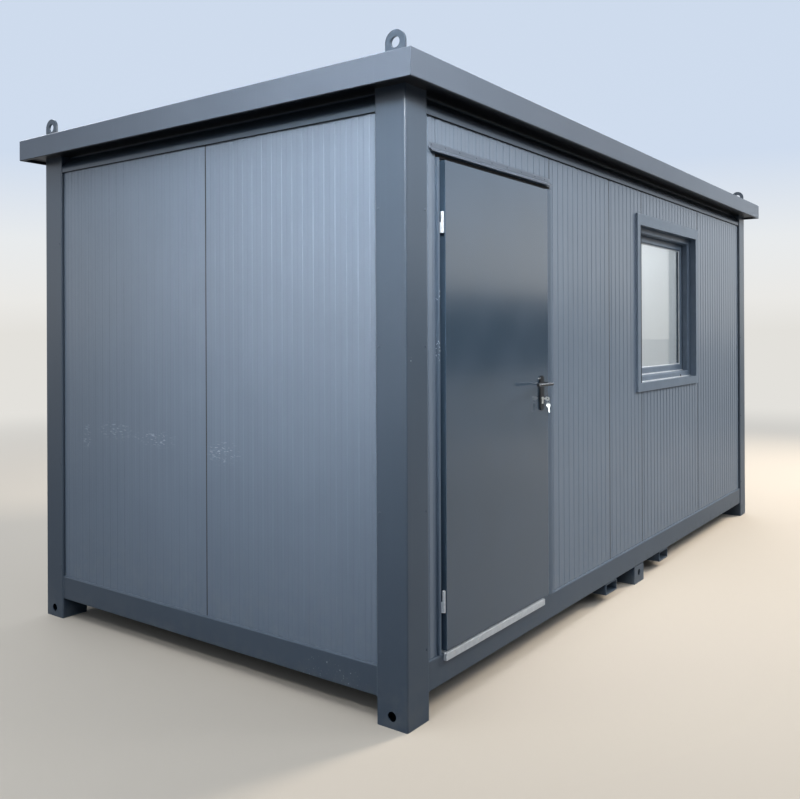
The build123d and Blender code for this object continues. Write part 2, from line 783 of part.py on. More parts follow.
frame_width = window_width + 2 * window_margin - 2 * fit
frame_height = window_height + 2 * window_margin - 2 * fit
frame_inner_width = window_width - 2 * window_frame_face
frame_inner_height = window_height - 2 * window_frame_face
with BuildPart() as window_frame:
    with BuildSketch(elevation_plane(window_frame_setback)):
        with Locations(window_centre):
            Rectangle(frame_width, frame_height)
            Rectangle(frame_inner_width, frame_inner_height, mode=Mode.SUBTRACT)
    extrude(amount=-window_frame_depth)
    chamfer(window_frame.faces().sort_by(Axis.Y)[0].inner_wires()[0].edges(), length=window_bevel)
window_frame.part.label = "window_frame"
export_step(window_frame.part, "parts/window_frame.step")

sash_width = frame_inner_width - fit
sash_height = frame_inner_height - fit
glass_width = sash_width - 2 * sash_face
glass_height = sash_height - 2 * sash_face
with BuildPart() as window_sash:
    with BuildSketch(elevation_plane(sash_setback)):
        with Locations(window_centre):
            Rectangle(sash_width, sash_height)
            Rectangle(glass_width, glass_height, mode=Mode.SUBTRACT)
    extrude(amount=-sash_depth)
    chamfer(window_sash.faces().sort_by(Axis.Y)[0].inner_wires()[0].edges(), length=window_bevel)
window_sash.part.label = "window_sash"
export_step(window_sash.part, "parts/window_sash.step")

with BuildPart() as window_glass:
    with BuildSketch(elevation_plane(glass_setback)):
        with Locations(window_centre):
            Rectangle(glass_width, glass_height)
    extrude(amount=-glass_thickness)
window_glass.part.label = "window_glass"
export_step(window_glass.part, "parts/window_glass.step")
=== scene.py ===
"""Looks of a portable site cabin: paints, glass, seals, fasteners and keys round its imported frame.

Metres, +X along the long front, +Y from front to rear, +Z up, origin on the ground under the middle.
"""
import math

import bmesh
import bpy
import numpy as np
from mathutils import Matrix, Vector


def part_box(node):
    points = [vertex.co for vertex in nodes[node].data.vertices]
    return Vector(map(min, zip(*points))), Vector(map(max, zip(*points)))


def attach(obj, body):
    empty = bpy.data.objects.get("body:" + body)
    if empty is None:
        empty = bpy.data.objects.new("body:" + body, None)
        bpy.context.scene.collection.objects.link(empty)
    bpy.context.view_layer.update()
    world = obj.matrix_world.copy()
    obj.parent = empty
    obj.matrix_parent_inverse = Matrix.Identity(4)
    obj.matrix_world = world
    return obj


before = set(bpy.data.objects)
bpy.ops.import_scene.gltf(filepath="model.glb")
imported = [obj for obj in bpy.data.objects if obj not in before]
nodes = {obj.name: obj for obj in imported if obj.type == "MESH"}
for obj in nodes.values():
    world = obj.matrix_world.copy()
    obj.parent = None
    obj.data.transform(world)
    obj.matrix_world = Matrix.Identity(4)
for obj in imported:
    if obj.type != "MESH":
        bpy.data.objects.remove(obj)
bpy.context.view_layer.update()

MM = 0.001

# Outer faces of the corner posts, the posts' size, and both walls' lengths over them
LEFT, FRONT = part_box("post_front_left")[0][:2]
RIGHT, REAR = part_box("post_rear_right")[1][:2]
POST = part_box("post_front_left")[1].x - LEFT
LONG, SHORT = RIGHT - LEFT, REAR - FRONT

# How far behind the posts' faces the panels' outer and inner faces lie
PANEL_FACE = 15 * MM
PANEL_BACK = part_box("front_panel_1")[1].y - FRONT

# One frame per wall: the foot of its left post seen from outside, the way along it and the way out
WALLS = {
    "front": ((LEFT, FRONT, 0), (1, 0, 0), (0, -1, 0)),
    "right": ((RIGHT, FRONT, 0), (0, 1, 0), (1, 0, 0)),
    "rear": ((RIGHT, REAR, 0), (-1, 0, 0), (0, 1, 0)),
    "left": ((LEFT, REAR, 0), (0, -1, 0), (-1, 0, 0)),
}
WALL_LENGTHS = {"front": LONG, "right": SHORT, "rear": LONG, "left": SHORT}


def on_wall(wall, along, depth, height):
    """Points from distances along a wall, inwards from its posts' outer face, and up."""
    origin, way, out = (np.array(v, float) for v in WALLS[wall])
    along, depth, height = np.broadcast_arrays(along, depth, height)
    points = origin + along[..., None] * way - depth[..., None] * out
    points[..., 2] += height
    return points


def wall_axes(wall):
    """Where a small mesh's local x, y and z go on a wall: along it, up, and out of it."""
    return np.array([WALLS[wall][1], (0, 0, 1), WALLS[wall][2]], float)


# Colours and nodes

def linear(hex_colour):
    """sRGB hex to linear: ((v + 0.055) / 1.055) ** 2.4 above the toe, v / 12.92 below it."""
    values = np.array([int(hex_colour[i:i + 2], 16) for i in (1, 3, 5)]) / 255
    values = np.where(values > 0.04045, ((values + 0.055) / 1.055) ** 2.4, values / 12.92)
    return (*values.tolist(), 1.0)


def add_node(tree, kind, inputs=None, **settings):
    """One node: settings are its properties, inputs its sockets' values or what feeds them."""
    node = tree.nodes.new(kind)
    for name, value in settings.items():
        setattr(node, name, value)
    for name, value in (inputs or {}).items():
        if isinstance(value, bpy.types.NodeSocket):
            tree.links.new(value, node.inputs[name])
        else:
            node.inputs[name].default_value = value
    return node


def per_metre(millimetres):
    """Texture scale whose pattern repeats about every so many millimetres."""
    return 1000 / millimetres


def new_material(name):
    """An empty material with a Principled shader: its tree, the shader and the Object coordinates."""
    material = bpy.data.materials.new(name)
    material.use_nodes = True
    tree = material.node_tree
    tree.nodes.clear()
    shader = add_node(tree, "ShaderNodeBsdfPrincipled")
    add_node(tree, "ShaderNodeOutputMaterial", {"Surface": shader.outputs["BSDF"]})
    place = add_node(tree, "ShaderNodeTexCoord").outputs["Object"]
    return material, tree, shader, place


def stretched(tree, place, sizes):
    """Object coordinates with each axis divided by a size in millimetres, for a stretched grain."""
    scale = [per_metre(size) for size in sizes]
    return add_node(tree, "ShaderNodeMapping", {"Vector": place, "Scale": scale}).outputs[0]


def blend(tree, share, first, second):
    """Colour that goes from the first to the second as the share goes from 0 to 1."""
    inputs = {"Factor": share, 6: first, 7: second}
    return add_node(tree, "ShaderNodeMix", inputs, data_type="RGBA").outputs[2]


def span(tree, value, start, stop, low=0.0, high=1.0):
    """Value between start and stop carried smoothly to low and high, and held there beyond."""
    inputs = {"Value": value, "From Min": start, "From Max": stop, "To Min": low, "To Max": high}
    return add_node(tree, "ShaderNodeMapRange", inputs, interpolation_type="SMOOTHSTEP").outputs[0]


def multiplied(tree, *values):
    """Product of several values."""
    product = values[0]
    for value in values[1:]:
        inputs = {0: product, 1: value}
        product = add_node(tree, "ShaderNodeMath", inputs, operation="MULTIPLY").outputs[0]
    return product


def greatest(tree, *values):
    """Greatest of several values."""
    top = values[0]
    for value in values[1:]:
        inputs = {0: top, 1: value}
        top = add_node(tree, "ShaderNodeMath", inputs, operation="MAXIMUM").outputs[0]
    return top


def soft_spot(tree, place, centre, radii):
    """1 at a point, 0 from an ellipsoid's surface outwards: 1 minus the distance counted in radii."""
    inputs = {"Vector": place, "Location": centre, "Scale": radii}
    local = add_node(tree, "ShaderNodeMapping", inputs, vector_type="TEXTURE").outputs[0]
    ball = add_node(tree, "ShaderNodeTexGradient", {"Vector": local}, gradient_type="SPHERICAL")
    return ball.outputs["Fac"]


def dent_and_peel(tree, shader, place, wave_mm, wave_height, peel_mm, peel_height):
    """Bump of a painted sheet: long shallow waves of the metal, and the paint's fine peel on them."""
    wave = add_node(
        tree, "ShaderNodeTexNoise", {"Vector": place, "Scale": per_metre(wave_mm), "Detail": 1.0}
    ).outputs["Fac"]
    peel = add_node(
        tree, "ShaderNodeTexNoise", {"Vector": place, "Scale": per_metre(peel_mm), "Detail": 0.0}
    ).outputs["Fac"]
    first = add_node(tree, "ShaderNodeBump", {"Height": wave, "Strength": 1.0, "Distance": wave_height})
    second = add_node(
        tree,
        "ShaderNodeBump",
        {"Height": peel, "Strength": 1.0, "Distance": peel_height, "Normal": first.outputs[0]},
    )
    tree.links.new(second.outputs[0], shader.inputs["Normal"])


def ground_dust(tree, place, top_mm):
    """Share of splashed dust: full at the ground, gone at a height, in patches 60 mm across."""
    height = add_node(tree, "ShaderNodeSeparateXYZ", {0: place}).outputs["Z"]
    fade = span(tree, height, 0.0, top_mm * MM, 1.0, 0.0)
    patches = add_node(
        tree, "ShaderNodeTexNoise", {"Vector": place, "Scale": per_metre(60), "Detail": 5.0}
    ).outputs["Fac"]
    return multiplied(tree, fade, span(tree, patches, 0.38, 0.7))


def soft_shades(tree, place, colour, darker, lighter):
    """A paint's colour with cloudy patches, 300 mm across, and fine streaks left by running water."""
    clouds = add_node(
        tree, "ShaderNodeTexNoise", {"Vector": place, "Scale": per_metre(300), "Detail": 3.0}
    ).outputs["Fac"]
    grain = stretched(tree, place, (18, 18, 900))
    streaks = add_node(
        tree, "ShaderNodeTexNoise", {"Vector": grain, "Scale": 1.0, "Detail": 3.0}
    ).outputs["Fac"]
    base = blend(tree, span(tree, clouds, 0.3, 0.7), linear(darker), linear(colour))
    return blend(tree, span(tree, streaks, 0.58, 0.8, 0.0, 0.5), base, linear(lighter))


# Paints

def sprayed_enamel_on_steel():
    """Two-part enamel sprayed on welded steel: satin, slightly wavy, with chips at knocked edges."""
    material, tree, shader, place = new_material("sprayed_enamel_on_steel")
    colour = soft_shades(tree, place, "#414d59", "#3f4b57", "#45515e")
    dust = ground_dust(tree, place, 260)
    colour = blend(tree, multiplied(tree, dust, 0.16), colour, linear("#8d8a80"))
    # bright chips: the tops of a fine noise, let through low on the short side and at one knocked edge
    specks = add_node(
        tree, "ShaderNodeTexNoise", {"Vector": place, "Scale": per_metre(9), "Detail": 2.0}
    ).outputs["Fac"]
    low = soft_spot(tree, place, (LEFT, -0.82, 0.13), (0.1, 0.22, 0.08))
    knock = soft_spot(tree, place, (LEFT + 0.03, FRONT, 1.43), (0.03, 0.03, 0.02))
    near = span(tree, greatest(tree, low, knock), 0.05, 0.4)
    chips = multiplied(tree, span(tree, specks, 0.68, 0.72), near)
    tree.links.new(blend(tree, chips, colour, linear("#b9bdbd")), shader.inputs["Base Color"])
    rough = span(tree, dust, 0.0, 1.0, 0.3, 0.5)
    tree.links.new(rough, shader.inputs["Roughness"])
    shader.inputs["IOR"].default_value = 1.7
    dent_and_peel(tree, shader, place, 420, 1.2 * MM, 14, 0.03 * MM)
    return material


def door_frame_enamel():
    """The same enamel on the folded door frame, a little glossier, chipped along the hinge side."""
    material, tree, shader, place = new_material("door_frame_enamel")
    colour = soft_shades(tree, place, "#4a5968", "#475665", "#505f70")
    specks = add_node(
        tree, "ShaderNodeTexNoise", {"Vector": place, "Scale": per_metre(7), "Detail": 2.0}
    ).outputs["Fac"]
    upper = soft_spot(tree, place, (LEFT + 0.23, FRONT, 1.69), (0.03, 0.03, 0.03))
    lower = soft_spot(tree, place, (LEFT + 0.23, FRONT, 1.46), (0.02, 0.02, 0.05))
    near = span(tree, greatest(tree, upper, lower), 0.05, 0.3)
    chips = multiplied(tree, span(tree, specks, 0.58, 0.64), near)
    tree.links.new(blend(tree, chips, colour, linear("#aeb9c4")), shader.inputs["Base Color"])
    shader.inputs["Roughness"].default_value = 0.28
    shader.inputs["IOR"].default_value = 1.65
    dent_and_peel(tree, shader, place, 300, 0.6 * MM, 12, 0.03 * MM)
    return material


def coil_coated_roof_edge():
    """Polyester coil-coated sheet, folded after coating: semi-gloss, with painted shade making its faces
    that turn downwards near black.
    """
    material, tree, shader, place = new_material("coil_coated_roof_edge")
    colour = soft_shades(tree, place, "#5a636e", "#57606b", "#5f6874")
    # painted shade: faces turned downwards, such as the soffit and the drip's underside, are blended to
    # near black
    normal = add_node(tree, "ShaderNodeNewGeometry").outputs["Normal"]
    up = add_node(tree, "ShaderNodeSeparateXYZ", {0: normal}).outputs["Z"]
    under = span(tree, up, -0.9, -0.3, 1.0, 0.0)
    tree.links.new(blend(tree, under, colour, linear("#0c0e11")), shader.inputs["Base Color"])
    shader.inputs["Roughness"].default_value = 0.34
    shader.inputs["IOR"].default_value = 1.55
    dent_and_peel(tree, shader, place, 500, 1.5 * MM, 10, 0.02 * MM)
    return material


# Scuffs on the short side: distance from its rear edge, height, and their reach along and up
SCUFFS = [
    (0.60, 1.04, 0.17, 0.06),
    (0.36, 1.00, 0.05, 0.09),
    (0.92, 1.02, 0.20, 0.05),
    (1.40, 0.99, 0.14, 0.07),
]


def coil_coated_panel_skin():
    """Polyester coil-coated panel skin: satin, lighter than the frame, scuffed, white inside."""
    material, tree, shader, place = new_material("coil_coated_panel_skin")
    colour = soft_shades(tree, place, "#6a7683", "#687481", "#6e7b88")
    # scuffs: short level scratches, let through inside soft patches
    grain = stretched(tree, place, (40, 28, 5))
    scratches = add_node(
        tree, "ShaderNodeTexNoise", {"Vector": grain, "Scale": 1.0, "Detail": 4.0}
    ).outputs["Fac"]
    patches = [
        soft_spot(tree, place, (LEFT, REAR - along, height), (0.1, reach, rise))
        for along, height, reach, rise in SCUFFS
    ]
    near = span(tree, greatest(tree, *patches), 0.0, 0.6, 0.0, 0.4)
    scuffs = multiplied(tree, span(tree, scratches, 0.56, 0.66), near)
    colour = blend(tree, scuffs, colour, linear("#b4bcc4"))
    dust = ground_dust(tree, place, 700)
    colour = blend(tree, multiplied(tree, dust, 0.12), colour, linear("#8f8e86"))
    colour = blend(tree, room_share(tree, place), colour, linear("#e2e4e4"))
    tree.links.new(colour, shader.inputs["Base Color"])
    shader.inputs["Roughness"].default_value = 0.25
    shader.inputs["IOR"].default_value = 1.75
    dent_and_peel(tree, shader, place, 700, 1.0 * MM, 12, 0.03 * MM)
    return material


def room_share(tree, place):
    """1 inside the room, 0 outside: on x and on y, the middle is no farther off than the inner skin."""
    apart = add_node(tree, "ShaderNodeSeparateXYZ", {0: place})
    shares = []
    for axis, reach in (("X", RIGHT - PANEL_BACK), ("Y", REAR - PANEL_BACK)):
        inputs = {0: apart.outputs[axis]}
        distance = add_node(tree, "ShaderNodeMath", inputs, operation="ABSOLUTE").outputs[0]
        inputs = {0: distance, 1: reach + 0.5 * MM}
        shares.append(add_node(tree, "ShaderNodeMath", inputs, operation="LESS_THAN").outputs[0])
    return multiplied(tree, *shares)


def powder_coated_door_skin():
    """Smooth powder coat on a flat steel leaf: semi-gloss, mirrors sky and ground softly."""
    material, tree, shader, place = new_material("powder_coated_door_skin")
    clouds = add_node(
        tree, "ShaderNodeTexNoise", {"Vector": place, "Scale": per_metre(240), "Detail": 3.0}
    ).outputs["Fac"]
    colour = blend(tree, span(tree, clouds, 0.3, 0.7), linear("#354553"), linear("#394958"))
    tree.links.new(colour, shader.inputs["Base Color"])
    tree.links.new(span(tree, clouds, 0.25, 0.75, 0.16, 0.2), shader.inputs["Roughness"])
    shader.inputs["IOR"].default_value = 1.9
    shader.inputs["Coat Weight"].default_value = 0.8
    shader.inputs["Coat Roughness"].default_value = 0.12
    dent_and_peel(tree, shader, place, 600, 1.2 * MM, 16, 0.03 * MM)
    return material


def foiled_window_profile():
    """Extruded window profile under a satin grey foil: even, slightly silky."""
    material, tree, shader, place = new_material("foiled_window_profile")
    grain = add_node(
        tree, "ShaderNodeTexNoise", {"Vector": place, "Scale": per_metre(60), "Detail": 4.0}
    ).outputs["Fac"]
    colour = blend(tree, span(tree, grain, 0.3, 0.7), linear("#606d7a"), linear("#667381"))
    tree.links.new(colour, shader.inputs["Base Color"])
    shader.inputs["Roughness"].default_value = 0.34
    shader.inputs["IOR"].default_value = 1.5
    dent_and_peel(tree, shader, place, 200, 0.3 * MM, 8, 0.02 * MM)
    return material


def white_lining_sheet():
    """White coated lining sheet of the ceiling: satin, clean, almost even."""
    material, tree, shader, place = new_material("white_lining_sheet")
    clouds = add_node(
        tree, "ShaderNodeTexNoise", {"Vector": place, "Scale": per_metre(500), "Detail": 2.0}
    ).outputs["Fac"]
    colour = blend(tree, span(tree, clouds, 0.3, 0.7), linear("#dfe0dc"), linear("#e7e8e4"))
    tree.links.new(colour, shader.inputs["Base Color"])
    shader.inputs["Roughness"].default_value = 0.45
    return material


def vinyl_floor_covering():
    """Calendered sheet vinyl: matt grey with a fine two-tone fleck 4 mm across."""
    material, tree, shader, place = new_material("vinyl_floor_covering")
    flecks = add_node(
        tree, "ShaderNodeTexVoronoi", {"Vector": place, "Scale": per_metre(4), "Randomness": 1.0}
    ).outputs["Color"]
    tone = add_node(tree, "ShaderNodeSeparateColor", {0: flecks}).outputs[0]
    colour = blend(tree, span(tree, tone, 0.2, 0.9), linear("#6a6c6d"), linear("#84868a"))
    tree.links.new(colour, shader.inputs["Base Color"])
    shader.inputs["Roughness"].default_value = 0.6
    return material


def float_glass():
    """Double-glazed float glass: clear, faintly green, mirror smooth."""
    material, _, shader, _ = new_material("float_glass")
    shader.inputs["Base Color"].default_value = linear("#f3f6f7")
    shader.inputs["Roughness"].default_value = 0.0
    shader.inputs["IOR"].default_value = 1.5
    shader.inputs["Transmission Weight"].default_value = 1.0
    return material


# Metals and small parts

def bright_zinc_hinge():
    """Electro-galvanised steel: pale silver with a faint bluish bloom in patches 12 mm across."""
    material, tree, shader, place = new_material("bright_zinc_hinge")
    bloom = add_node(
        tree, "ShaderNodeTexNoise", {"Vector": place, "Scale": per_metre(12), "Detail": 3.0}
    ).outputs["Fac"]
    colour = blend(tree, span(tree, bloom, 0.3, 0.7), linear("#d5dade"), linear("#eceff0"))
    tree.links.new(colour, shader.inputs["Base Color"])
    shader.inputs["Metallic"].default_value = 0.65
    shader.inputs["Roughness"].default_value = 0.42
    return material


def galvanised_roof_sheet():
    """Hot-dip galvanised roof sheet, weathered: mid grey, with zinc spangle 14 mm across."""
    material, tree, shader, place = new_material("galvanised_roof_sheet")
    spangle = add_node(
        tree, "ShaderNodeTexVoronoi", {"Vector": place, "Scale": per_metre(14), "Randomness": 1.0}
    ).outputs["Color"]
    tone = add_node(tree, "ShaderNodeSeparateColor", {0: spangle}).outputs[0]
    colour = blend(tree, tone, linear("#80868a"), linear("#8d9397"))
    tree.links.new(colour, shader.inputs["Base Color"])
    tree.links.new(span(tree, tone, 0.0, 1.0, 0.45, 0.6), shader.inputs["Roughness"])
    shader.inputs["Metallic"].default_value = 0.5
    return material


def mill_finish_aluminium():
    """Extruded aluminium as it left the die: pale, with fine lines along its length and dull marks."""
    material, tree, shader, place = new_material("mill_finish_aluminium")
    grain = stretched(tree, place, (6000, 3, 3))
    lines = add_node(
        tree, "ShaderNodeTexNoise", {"Vector": grain, "Scale": 1.0, "Detail": 1.0}
    ).outputs["Fac"]
    marks = add_node(
        tree, "ShaderNodeTexNoise", {"Vector": place, "Scale": per_metre(35), "Detail": 5.0}
    ).outputs["Fac"]
    colour = blend(tree, span(tree, marks, 0.35, 0.65), linear("#d2d6d8"), linear("#dfe2e3"))
    tree.links.new(colour, shader.inputs["Base Color"])
    tree.links.new(span(tree, lines, 0.3, 0.7, 0.36, 0.44), shader.inputs["Roughness"])
    shader.inputs["Metallic"].default_value = 0.5
    return material


def moulded_nylon():
    """Black glass-filled nylon, moulded: satin black with a soft sheen on its round edges."""
    material, tree, shader, place = new_material("moulded_nylon")
    grain = add_node(
        tree, "ShaderNodeTexNoise", {"Vector": place, "Scale": per_metre(2), "Detail": 1.0}
    ).outputs["Fac"]
    colour = blend(tree, grain, linear("#0c0d0f"), linear("#131517"))
    tree.links.new(colour, shader.inputs["Base Color"])
    shader.inputs["Roughness"].default_value = 0.14
    shader.inputs["IOR"].default_value = 1.75
    bump = add_node(tree, "ShaderNodeBump", {"Height": grain, "Strength": 0.2, "Distance": 0.05 * MM})
    tree.links.new(bump.outputs[0], shader.inputs["Normal"])
    return material


def rubber_seal():
    """Extruded rubber: dull black, soft where it bends."""
    material, tree, shader, place = new_material("rubber_seal")
    bloom = add_node(
        tree, "ShaderNodeTexNoise", {"Vector": place, "Scale": per_metre(30), "Detail": 3.0}
    ).outputs["Fac"]
    colour = blend(tree, span(tree, bloom, 0.4, 0.8), linear("#0e0f10"), linear("#1b1d1e"))
    tree.links.new(colour, shader.inputs["Base Color"])
    shader.inputs["Roughness"].default_value = 0.7
    return material


def nickel_plated_brass():
    """Nickel-plated brass of cylinder and keys: bright, with fine wear that shows a warmer tone."""
    material, tree, shader, place = new_material("nickel_plated_brass")
    wear = add_node(
        tree, "ShaderNodeTexNoise", {"Vector": place, "Scale": per_metre(5), "Detail": 4.0}
    ).outputs["Fac"]
    colour = blend(tree, span(tree, wear, 0.5, 0.8), linear("#e6e6e1"), linear("#d4cdb9"))
    tree.links.new(colour, shader.inputs["Base Color"])
    shader.inputs["Metallic"].default_value = 0.7
    shader.inputs["Roughness"].default_value = 0.35
    return material


finishes = {
    "frame_paint": sprayed_enamel_on_steel(),
    "fascia_paint": coil_coated_roof_edge(),
    "panel_paint": coil_coated_panel_skin(),
    "ceiling_paint": white_lining_sheet(),
    "door_paint": powder_coated_door_skin(),
    "window_paint": foiled_window_profile(),
    "glass": float_glass(),
    "galvanised_steel": bright_zinc_hinge(),
    "bright_aluminium": mill_finish_aluminium(),
    "floor_covering": vinyl_floor_covering(),
    "black_plastic": moulded_nylon(),
    "lock_nickel": nickel_plated_brass(),
}
frame_enamel = door_frame_enamel()
# this black rubber also makes strips of painted shade: in the door head, the hinge groove and the panel
# joints
black_rubber_and_shade = rubber_seal()
for node in nodes.values():
    for holder in node.material_slots:
        holder.material = finishes[holder.material.name.split(".")[0]]
for name in ("hinge_jamb", "lock_jamb", "door_head_rail"):
    nodes[name].material_slots[0].material = frame_enamel
# the drip strip takes the roof edge's paint, and with it the painted shade on its faces turned downwards
nodes["door_drip"].material_slots[0].material = finishes["fascia_paint"]
nodes["roof_deck"].material_slots[0].material = galvanised_roof_sheet()


# Meshes from grids of points

def grid_faces(rows, columns, closed_rows=False, closed_columns=False):
    """Quads between neighbours in a grid stored row by row; a closed way joins its ends too."""
    row = np.arange(rows if closed_rows else rows - 1)[:, None]
    column = np.arange(columns if closed_columns else columns - 1)[None, :]
    next_row = (row + 1) % rows
    next_column = (column + 1) % columns
    corners = [
        row * columns + column,
        row * columns + next_column,
        next_row * columns + next_column,
        next_row * columns + column,
    ]
    return np.stack(np.broadcast_arrays(*corners), -1).reshape(-1, 4)


def piece(name, shape, material, body="cabin", smooth=True):
    """A mesh from points and blocks of faces, its faces turned outwards, riding on a body."""
    points, blocks = shape
    mesh = bpy.data.meshes.new(name)
    mesh.from_pydata(points.tolist(), [], [face for block in blocks for face in block.tolist()])
    work = bmesh.new()
    work.from_mesh(mesh)
    bmesh.ops.recalc_face_normals(work, faces=work.faces)
    work.to_mesh(mesh)
    work.free()
    mesh.polygons.foreach_set("use_smooth", [smooth] * len(mesh.polygons))
    made = bpy.data.objects.new(name, mesh)
    bpy.context.scene.collection.objects.link(made)
    mesh.materials.append(material)
    if smooth:
        edge_split = made.modifiers.new("edges", "EDGE_SPLIT")
        edge_split.split_angle = math.radians(40)
    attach(made, body)


def copies(shape, origins, axes):
    """A small mesh at several places, with its local x, y and z turned to three axes, as one shape."""
    points, blocks = shape
    origins = np.asarray(origins, float)
    moved = origins[:, None, :] + (points @ axes)[None]
    steps = (np.arange(len(origins)) * len(points))[:, None, None]
    return moved.reshape(-1, 3), [(block[None] + steps).reshape(-1, block.shape[1]) for block in blocks]


def together(*shapes):
    """Several shapes as one, each block of faces shifted past the points before it."""
    points, blocks, start = [], [], 0
    for shape_points, shape_blocks in shapes:
        points.append(shape_points)
        blocks += [block + start for block in shape_blocks]
        start += len(shape_points)
    return np.concatenate(points), blocks


def turned(profile, sides, corner_pull=0.0):
    """A round or hexagonal head: each (radius, height) of a profile carried round the local z axis.

    The radius is shortened between the corners by corner_pull of what a true hexagon would lose:
    r * (1 - pull + pull * cos(30 deg) / cos(angle to the nearest flat)).
    """
    angle = np.linspace(0, 2 * math.pi, sides, endpoint=False)
    sixth = math.pi / 3
    flat = np.cos(sixth / 2) / np.cos((angle % sixth) - sixth / 2)
    pull = np.broadcast_to(corner_pull, (len(profile),))[:, None]
    radius = np.array([r for r, _ in profile])[:, None] * (1 - pull + pull * flat[None])
    height = np.array([h for _, h in profile])[:, None] + 0 * radius
    points = np.stack([radius * np.cos(angle), radius * np.sin(angle), height], -1).reshape(-1, 3)
    last = (len(profile) - 1) * sides
    ends = np.array([np.arange(sides)[::-1], last + np.arange(sides)])
    return points, [grid_faces(len(profile), sides, closed_columns=True), ends]


def run(profile, start, stop, side, up, ripple=0.0, pitch=0.0):
    """A closed profile carried straight from start to stop: start + s * way + a * side + b * up.

    With a ripple, the profile grows and shrinks along the run: 1 + ripple * sin(2 pi s / pitch).
    """
    start, stop, side, up = (np.asarray(v, float) for v in (start, stop, side, up))
    length = np.linalg.norm(stop - start)
    count = 2 if not pitch else max(2, int(length / pitch * 5))
    share = np.linspace(0, 1, count)
    grow = 1 + (ripple * np.sin(2 * math.pi * share * length / pitch) if pitch else 0 * share)
    profile = np.asarray(profile, float)
    cross = profile[:, 0, None] * side + profile[:, 1, None] * up
    line = start + share[:, None] * (stop - start)
    points = (line[:, None] + grow[:, None, None] * cross[None]).reshape(-1, 3)
    size = len(profile)
    ends = np.array([np.arange(size)[::-1], (count - 1) * size + np.arange(size)])
    return points, [grid_faces(count, size, closed_columns=True), ends]


def window_loop(profile, left, right, bottom, top):
    """A closed profile of (outward, depth) carried round a rectangle in the front wall, mitred."""
    out, depth = np.asarray(profile, float).T
    along = np.stack([left - out, right + out, right + out, left - out], -1)
    height = np.stack([bottom - out, bottom - out, top + out, top + out], -1)
    points = on_wall("front", along, depth[:, None] + 0 * along, height).reshape(-1, 3)
    return points, [grid_faces(len(profile), 4, closed_rows=True, closed_columns=True)]


def half_round(radius, count=7):
    """Half circle on its flat side: (r cos a, r sin a) for a from 0 to 180 degrees."""
    angle = np.linspace(0, math.pi, count)
    return np.stack([radius * np.cos(angle), radius * np.sin(angle)], -1)


# Fasteners

def pan_head(radius, height):
    """Pan-head screw: a low dome with a straight foot, seen from its top, and a shallow drive recess."""
    rim = [(radius, 0.0), (radius, 0.35 * height)]
    angles = np.radians([30, 55, 72])
    dome = [(radius * math.cos(a), (0.35 + 0.65 * math.sin(a)) * height) for a in angles]
    recess = [(0.24 * radius, 0.55 * height), (0.08 * radius, 0.5 * height)]
    return turned(rim + dome + recess, 12)


def hex_head_with_washer(radius, height):
    """Self-drilling roofing screw: a domed washer and a hexagonal head on it."""
    washer = [(radius, 0.0), (radius, 0.15 * height), (0.72 * radius, 0.35 * height)]
    head = [(0.5 * radius, 0.36 * height), (0.5 * radius, 0.9 * height), (0.42 * radius, height)]
    return turned(washer + head, 12, np.array([0, 0, 0, 1, 1, 1]))


# Screws in the posts, and those in the drip strip measured along the front
FASTENER_HEIGHTS = (0.285, 0.83, 1.48, 2.02)
FASTENER_INSET = POST - 18 * MM
DRIP_SCREWS = (0.195, 0.30, 0.41, 0.545, 0.68, 0.818, 0.955, 1.095, 1.20)


def post_screws():
    """Painted pan-head screws down the inner edge of both posts on each wall."""
    head = pan_head(5.5 * MM, 2.6 * MM)
    shapes = []
    for wall, length in WALL_LENGTHS.items():
        along, height = np.meshgrid([FASTENER_INSET, length - FASTENER_INSET], FASTENER_HEIGHTS)
        places = on_wall(wall, along, 0, height).reshape(-1, 3)
        shapes.append(copies(head, places, wall_axes(wall)))
    piece("post_screws", together(*shapes), finishes["frame_paint"])


def drip_screws():
    """Small screws through the upper edge of the drip strip over the door."""
    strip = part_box("door_drip")
    face = strip[1].y - FRONT - 2 * MM
    places = on_wall("front", np.array(DRIP_SCREWS), face, strip[1].z - 9 * MM)
    heads = copies(pan_head(4 * MM, 2 * MM), places, wall_axes("front"))
    piece("drip_screws", heads, finishes["frame_paint"])


def threshold_screws():
    """Low screws along the threshold strip, given the bright nickel finish as a painted highlight on
    their heads.
    """
    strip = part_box("threshold")
    inset = 60 * MM
    along = np.linspace(strip[0].x + inset, strip[1].x - inset, 5) - LEFT
    places = on_wall("front", along, strip[0].y - FRONT, (strip[0].z + strip[1].z) / 2)
    heads = copies(pan_head(4.5 * MM, 1.2 * MM), places, wall_axes("front"))
    # painted highlight: the nickel finish makes the heads show as bright dots
    piece("threshold_screws", heads, finishes["lock_nickel"])


def roof_edge_rivets():
    """Three blind rivets beside each corner seam of the roof edge, on the short sides."""
    head = pan_head(4 * MM, 1.6 * MM)
    inset, sunk = 12 * MM, 1.7 * MM
    shapes = []
    for wall in ("left", "right"):
        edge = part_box(f"fascia_{wall}")
        out = edge[0].x if wall == "left" else edge[1].x
        axes = wall_axes(wall)
        heights = edge[0].z + np.array([18, 55, 96]) * MM
        for corner in (edge[0].y + inset, edge[1].y - inset):
            places = np.stack([0 * heights + out, 0 * heights + corner, heights], -1)
            shapes.append(copies(head, places - sunk * axes[2], axes))
    piece("roof_edge_rivets", together(*shapes), finishes["fascia_paint"])


